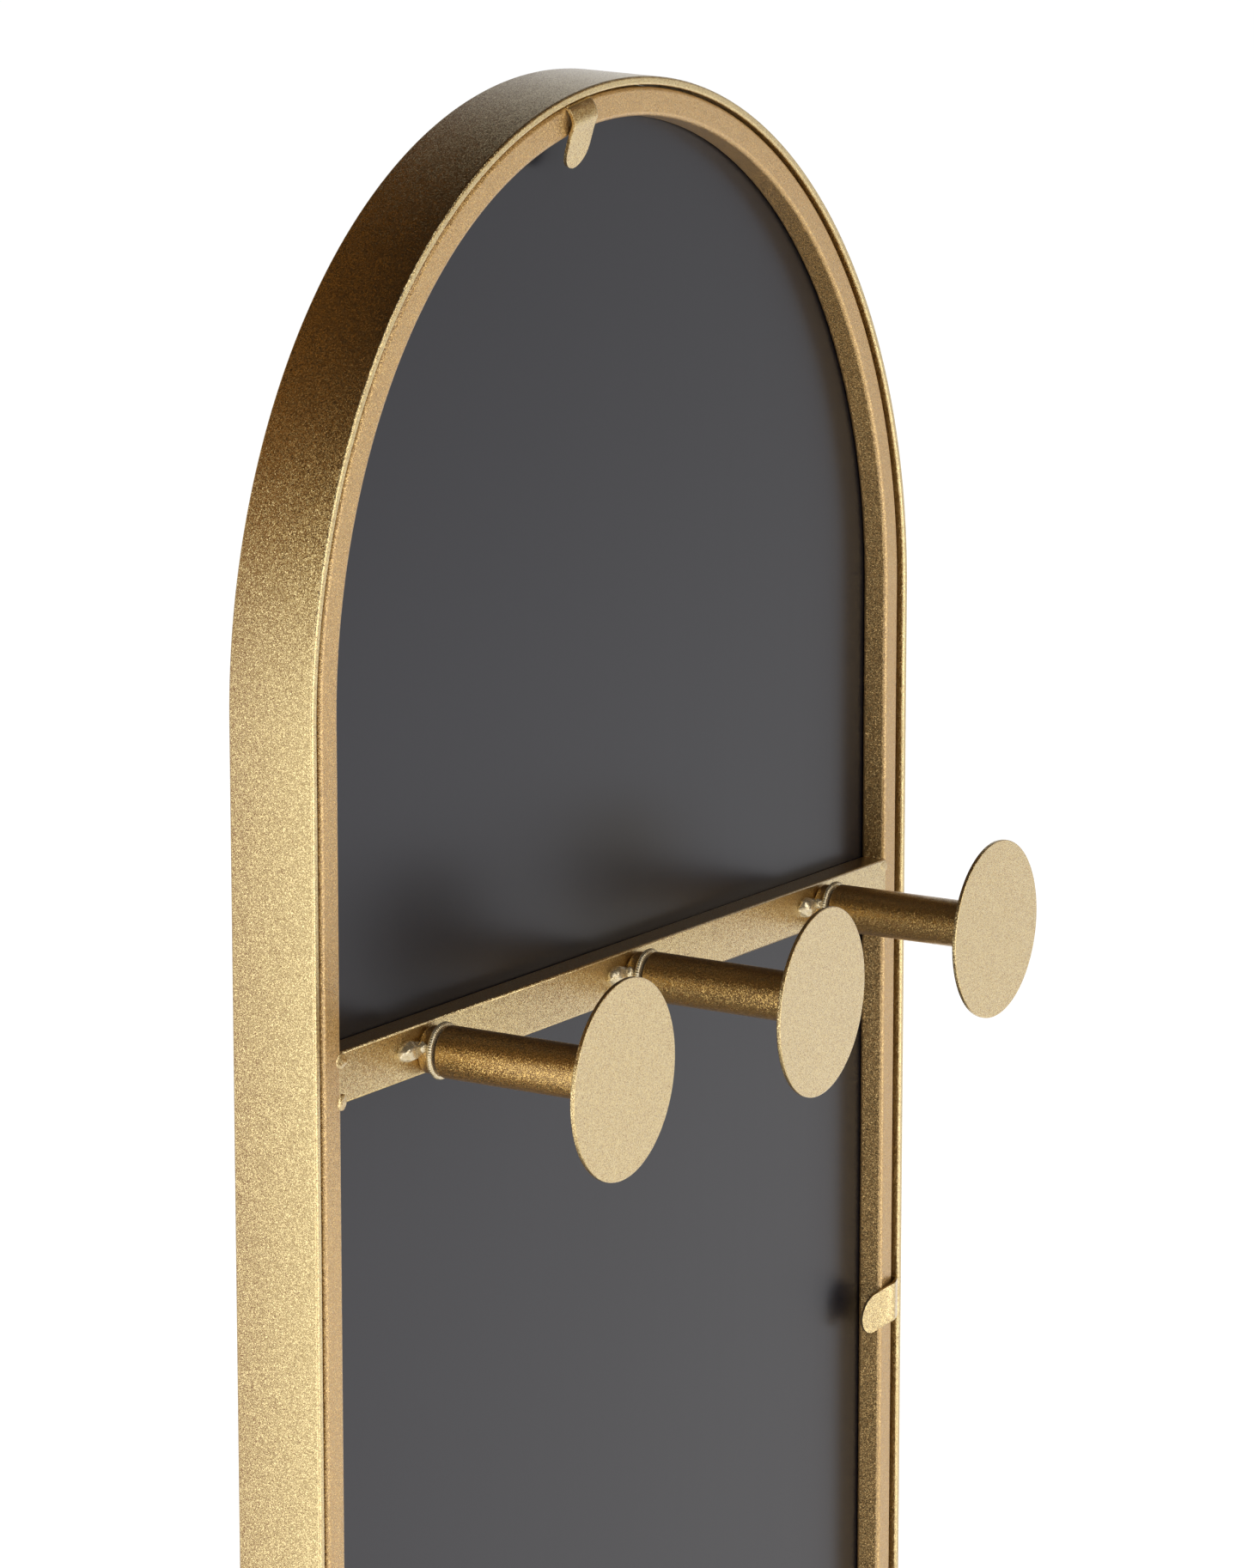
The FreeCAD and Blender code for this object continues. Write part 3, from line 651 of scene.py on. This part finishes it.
def weld_bead(work, centre, radii, ridges, seed):
    """A frozen puddle of weld: a flattened ball with ridges and a little unevenness."""
    ridge_height, lump_height, lump_scale = 0.07, 0.16, 1.6
    ball = bmesh.ops.create_uvsphere(work, u_segments=40, v_segments=24, radius=1.0)
    for vertex in ball["verts"]:
        out = vertex.co.normalized()
        ridge = 1.0 + ridge_height * math.sin(ridges * out.x * math.pi)
        lump = 1.0 + lump_height * noise.noise(out * lump_scale + Vector((seed, 0, 0)))
        vertex.co = Vector(c + r * o * ridge * lump for c, r, o in zip(centre, radii, out)) * MM


def make_tack_welds():
    """A lump and a drop of weld at each side of every boss."""
    work = bmesh.new()
    for i, (x, shift) in enumerate(zip(PEG_PLACES, PEG_SHIFTS)):
        for side in (1, -1):
            beads = (
                (TACK_SIZE, TACK_PLACE, TACK_RIDGES, 3 * i + side),
                (DROP_SIZE, DROP_PLACE, 0.0, 5 * i + side),
            )
            for radii, (out, rear, lift), ridges, seed in beads:
                centre = (x + shift + side * (BOSS_RADIUS + out), TUBE_REAR + rear, PEG_LEVEL + lift)
                weld_bead(work, centre, radii, ridges, seed)
    dressed(from_work("tack_weld_beads", work), WELD, "stand", "peg_tack_welds")


def make_seam_welds():
    """Flat spots of weld at the bar's two ends."""
    work = bmesh.new()
    for side, proud in SEAM_PROUD.items():
        for lift, width, height in SEAM_SPOTS:
            centre = (side * TUBE_INSIDE, TUBE_REAR - SEAM_SUNK, BAR_LEVEL + lift)
            weld_bead(work, centre, (width, SEAM_SUNK + proud, height), 0.0, 7 * side + lift)
    beads = from_work("seam_weld_beads", work)
    dressed(beads, GOLD, "stand", "crossbar_welds_left", "crossbar_welds_right")


def between(share, before, start, end, after):
    """A value on the smooth curve from start to end, with the values before and after them."""
    slope = (end - before) * share
    square = (2 * before - 5 * start + 4 * end - after) * share * share
    cube = (3 * start - before - 3 * end + after) * share**3
    return 0.5 * (2 * start + slope + square + cube)


def smooth_line(points, pieces=6):
    """A smooth run of points through the given ones."""
    ends = [points[0]] + list(points) + [points[-1]]
    line = []
    for four in zip(ends, ends[1:], ends[2:], ends[3:]):
        for i in range(pieces):
            line.append(tuple(between(i / pieces, *values) for values in zip(*four)))
    return line + [points[-1]]


def tab_line(lean):
    """Middle line of a tab: its leg follows the lean of the hoop, and its tongue runs back to
    its own line."""
    loss_per_mm = 0.08
    line = []
    for inset, rise in smooth_line(TAB_LINE):
        shift = -lean * hoop_lean(TAB_AXIS_DEPTH + min(rise, 0.0))
        line.append((inset + shift * (1.0 - loss_per_mm * max(inset, 0.0)), rise))
    return line


def tab_half_width(to_tip):
    """Half the width of a tab at a distance from its tip."""
    half = TAB_WIDTH / 2 - TAB_EDGE_GAP
    if to_tip >= half:
        return half
    curve = max(1.0 - ((half - to_tip) / half) ** TIP_FULLNESS, 0.0)
    return max(half * math.sqrt(curve), TIP_FLAT)


def make_tab(name, angle, root, lean=0.0, skew=0.0):
    """One bent strip with a half-round tip; it bends at its root where it leaves the groove."""
    root = Vector(root)
    inward = Vector((-math.sin(angle), 0.0, -math.cos(angle)))
    along = Vector((math.cos(angle), 0.0, -math.sin(angle)))
    rear = Vector((0.0, 1.0, 0.0))
    line = tab_line(lean)
    travel = [0.0]
    for here, there in zip(line, line[1:]):
        travel.append(travel[-1] + math.dist(here, there))
    work = bmesh.new()
    rows = []
    for (inset, rise), gone in zip(line, travel):
        half = tab_half_width(max(travel[-1] - gone, 0.0))
        askew = skew * max(inset - SKEW_START, 0.0)
        row = []
        for i in range(TAB_COLUMNS + 1):
            sideways = half * (2.0 * i / TAB_COLUMNS - 1.0) + askew
            row.append(work.verts.new((root + inward * inset + rear * rise + along * sideways) * MM))
        rows.append(row)
    for lower, upper in zip(rows, rows[1:]):
        for i in range(TAB_COLUMNS):
            work.faces.new((lower[i], lower[i + 1], upper[i + 1], upper[i]))
    strip = from_work("tab_strip_" + name, work)
    sheet = strip.modifiers.new("sheet", "SOLIDIFY")
    sheet.thickness = TAB_THICKNESS * MM
    sheet.offset = 0.0
    edge = strip.modifiers.new("edge", "BEVEL")
    edge.width = TAB_EDGE * MM
    edge.segments = 2
    edge.limit_method = "ANGLE"
    edge.angle_limit = math.radians(50)
    dressed(baked(strip), GOLD, None, "tab_tongue_" + name)
    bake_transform(strip)
    return strip


def make_tabs():
    tilt = math.radians(TOP_TAB_ANGLE)
    place = (TOP_TAB_REACH * math.sin(tilt), TAB_AXIS_DEPTH, SPRING + TOP_TAB_REACH * math.cos(tilt))
    first = make_tab("top", tilt, place, math.cos(tilt), TOP_SKEW)
    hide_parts("tab_legs")
    wall = HOOP_RADIUS - TAB_AXIS_INSET
    for level, z in TAB_LEVELS.items():
        make_tab(level + "_left", math.pi / 2, (wall, TAB_AXIS_DEPTH, z - TAB_LEFT_DROP))
        make_tab(level + "_right", -math.pi / 2, (-wall, TAB_AXIS_DEPTH, z), skew=RIGHT_SKEW)


def dress_plain_nodes():
    """Finishes for the pieces whose solids are right as they are."""
    finishes = {
        GOLD: ("glass_stop", "bottom_rail", "base_plate"),
        BOARD: ("backing_board",),
        MIRROR: ("mirror_glass",),
        RUBBER: ("floor_pads", "setting_blocks", "glass_cushion_tape"),
        ZINC: ("base_screws", "rail_weld_nuts"),
    }
    for finish, names in finishes.items():
        for name in names:
            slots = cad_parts[name].data.materials
            slots.clear()
            slots.append(finish)


# Studio, in metres

FLOOR_RADIUS = 1.5
# The floor fades out between these distances from its middle
FLOOR_FADE = (0.4, 1.45)

# Colours of the studio by the height looked at: lit floor, white horizon, warm dim ceiling
SKY = (
    (-0.35, "#FFFCF8"), (0.0, "#FFFFFF"), (0.14, "#FDF5E2"), (0.29, "#CDB48D"),
    (0.43, "#856238"), (0.56, "#523312"), (0.7, "#2C1803"), (0.85, "#201002"),
)
# Sides of the studio, as directions from the rack
BACKDROP_SIDE = (-0.858, -0.514, 0.0)
DIM_SIDE = (-0.857, 0.515, 0.0)
CARD_SIDE = (0.858, 0.514, 0.0)

CARD_DISTANCE = 3.2
CARD_HEIGHT = 3.2
CARD_HALF_WIDTH = 2.0

# Softboxes: name, place, aim, width, height and watts
SOFTBOXES = (
    ("rear_softbox", (0.25, 2.6, 1.25), (0.0, 0.0, 1.3), 3.6, 2.4, 42.0),
    ("left_softbox", (2.3, 0.3, 0.85), (0.0, 0.0, 1.3), 2.4, 2.8, 27.0),
    ("floor_softbox_left", (1.3, 0.0, 1.1), (1.3, 0.0, 0.0), 1.6, 3.0, 22.0),
    ("floor_softbox_right", (-1.3, 0.0, 1.1), (-1.3, 0.0, 0.0), 1.6, 3.0, 22.0),
    ("overhead_softbox", (0.3, 1.9, 3.3), (0.0, 0.1, 1.3), 1.0, 1.0, 10.0),
)


def make_floor():
    """A pale round floor that fades into the white background."""
    work = bmesh.new()
    bmesh.ops.create_circle(work, cap_ends=True, segments=128, radius=FLOOR_RADIUS)
    floor = from_work("studio_floor", work)
    finish, tree, shader = new_finish("pale_studio_floor", Roughness=0.75, Specular_IOR_Level=0.2)
    where = on_object(tree)
    clouds = speckle(tree, where, size_mm=1000 / 6, detail=3.0)
    coloured(tree, shader, clouds, "#F4F4F2", "#FAFAF9")
    reach = add(tree, "ShaderNodeVectorMath", {0: where}, operation="LENGTH").outputs["Value"]
    limits = {"Value": reach, "From Min": FLOOR_FADE[0], "From Max": FLOOR_FADE[1]}
    fade = add(tree, "ShaderNodeMapRange", limits, interpolation_type="SMOOTHSTEP")
    clear = add(tree, "ShaderNodeBsdfTransparent")
    shares = {0: fade.outputs[0], 1: shader.outputs[0], 2: clear.outputs[0]}
    both = add(tree, "ShaderNodeMixShader", shares)
    tree.links.new(both.outputs[0], tree.nodes["Material Output"].inputs["Surface"])
    floor.data.materials.append(finish)


def make_world():
    """A white studio: bright below and round the horizon, a dim warm ceiling above."""
    world = bpy.data.worlds.new("white_studio")
    bpy.context.scene.world = world
    world.use_nodes = True
    tree = world.node_tree
    tree.nodes.clear()
    where = add(tree, "ShaderNodeTexCoord").outputs["Generated"]
    height = add(tree, "ShaderNodeSeparateXYZ", {0: where}).outputs["Z"]

    def by_height(start, end, first, last):
        """A value that changes evenly from first to last between two heights."""
        limits = {"From Min": start, "From Max": end, "To Min": first, "To Max": last}
        return add(tree, "ShaderNodeMapRange", {"Value": height, **limits}).outputs[0]

    def by_side(direction, start, end):
        """A share that rises smoothly to 1 towards one side of the studio."""
        toward = add(tree, "ShaderNodeVectorMath", {0: where, 1: direction}, operation="DOT_PRODUCT")
        limits = {"Value": toward.outputs["Value"], "From Min": start, "From Max": end}
        return add(tree, "ShaderNodeMapRange", limits, interpolation_type="SMOOTHSTEP").outputs[0]

    lowest, highest = SKY[0][0], SKY[-1][0]
    sky = add(tree, "ShaderNodeValToRGB", {"Fac": by_height(lowest, highest, 0.0, 1.0)})
    ramp = sky.color_ramp
    for z, code in SKY[1:-1]:
        ramp.elements.new((z - lowest) / (highest - lowest)).color = linear(code)
    ramp.elements[0].color = linear(SKY[0][1])
    ramp.elements[-1].color = linear(SKY[-1][1])

    # A paper backdrop greys upwards
    paper = by_height(start=0.1, end=0.75, first=1.15, last=0.12)
    backdrop = by_side(BACKDROP_SIDE, start=0.55, end=0.85)
    shares = {0: backdrop, 6: sky.outputs["Color"], 7: paper}
    hue = add(tree, "ShaderNodeMix", shares, data_type="RGBA").outputs[2]

    # Behind the rack on the right the light falls off from the floor up to the horizon
    falling = by_height(start=-0.02, end=-0.24, first=0.75, last=1.12)
    dim = by_side(DIM_SIDE, start=0.7, end=0.93)
    fall = add(tree, "ShaderNodeMix", {0: dim, 2: 1.0, 3: falling}, data_type="FLOAT").outputs[0]
    level = by_height(start=0.0, end=lowest, first=0.88, last=1.0)
    strength = add(tree, "ShaderNodeMath", {0: level, 1: fall}, operation="MULTIPLY").outputs[0]
    studio = add(tree, "ShaderNodeBackground", {"Color": hue, "Strength": strength})
    add(tree, "ShaderNodeOutputWorld", {"Surface": studio.outputs[0]})


def make_dark_card():
    """A matt dark card beside the camera keeps the reflections in the board dark; it stays out
    of view."""
    toward = Vector(CARD_SIDE)
    across = Vector((-toward.y, toward.x, 0.0))
    work = bmesh.new()
    corners = []
    for sideways, z in ((-1, 0), (1, 0), (1, 1), (-1, 1)):
        up = Vector((0.0, 0.0, z * CARD_HEIGHT))
        place = toward * CARD_DISTANCE + across * (sideways * CARD_HALF_WIDTH) + up
        corners.append(work.verts.new(place))
    work.faces.new(corners)
    card = from_work("dark_card", work)
    finish, tree, shader = new_finish("dark_felt_card", Roughness=0.95)
    fibres = speckle(tree, on_object(tree), size_mm=4.0, detail=3.0)
    coloured(tree, shader, fibres, "#4A4A4A", "#5C5C5C")
    card.data.materials.append(finish)
    card.visible_camera = False


def make_softbox(name, place, aim, width, height, watts):
    lamp = bpy.data.lights.new(name, "AREA")
    lamp.shape = "RECTANGLE"
    lamp.size, lamp.size_y = width, height
    lamp.energy = watts
    thing = link(name, lamp)
    thing.location = place
    thing.rotation_euler = (Vector(aim) - Vector(place)).to_track_quat("-Z", "Y").to_euler()
    thing.visible_camera = False


def make_camera():
    """The photograph's viewpoint: behind the rack, towards its left."""
    azimuth, elevation = math.radians(120.939), math.radians(8.21)
    distance, focal_pixels = 1574.25, 5311.3
    centre_row = 730.0
    aside, above_spring = 10.054, 10.121
    target = Vector((aside, HOOP_DEPTH / 2, SPRING + above_spring))
    back = Vector((
        math.sin(azimuth) * math.cos(elevation),
        -math.cos(azimuth) * math.cos(elevation),
        math.sin(elevation),
    ))
    lens = bpy.data.cameras.new("photo_camera")
    lens.sensor_width = 36.0
    lens.lens = focal_pixels * lens.sensor_width / PHOTO_HEIGHT
    lens.shift_y = (centre_row - PHOTO_HEIGHT / 2) / PHOTO_HEIGHT
    lens.clip_start, lens.clip_end = 0.05, 100.0
    camera = link("photo_camera", lens)
    camera.location = (target + back * distance) * MM
    camera.rotation_euler = (-back).to_track_quat("-Z", "Y").to_euler()
    bpy.context.scene.camera = camera


make_hoop()
make_inner_frame()
make_crossbar()
make_peg_bosses()
make_peg_weld_rings()
make_peg_tubes()
make_peg_discs()
make_tack_welds()
make_seam_welds()
make_tabs()
dress_plain_nodes()
make_floor()
make_world()
make_dark_card()
for softbox in SOFTBOXES:
    make_softbox(*softbox)
make_camera()
bpy.context.scene.view_settings.view_transform = "Standard"
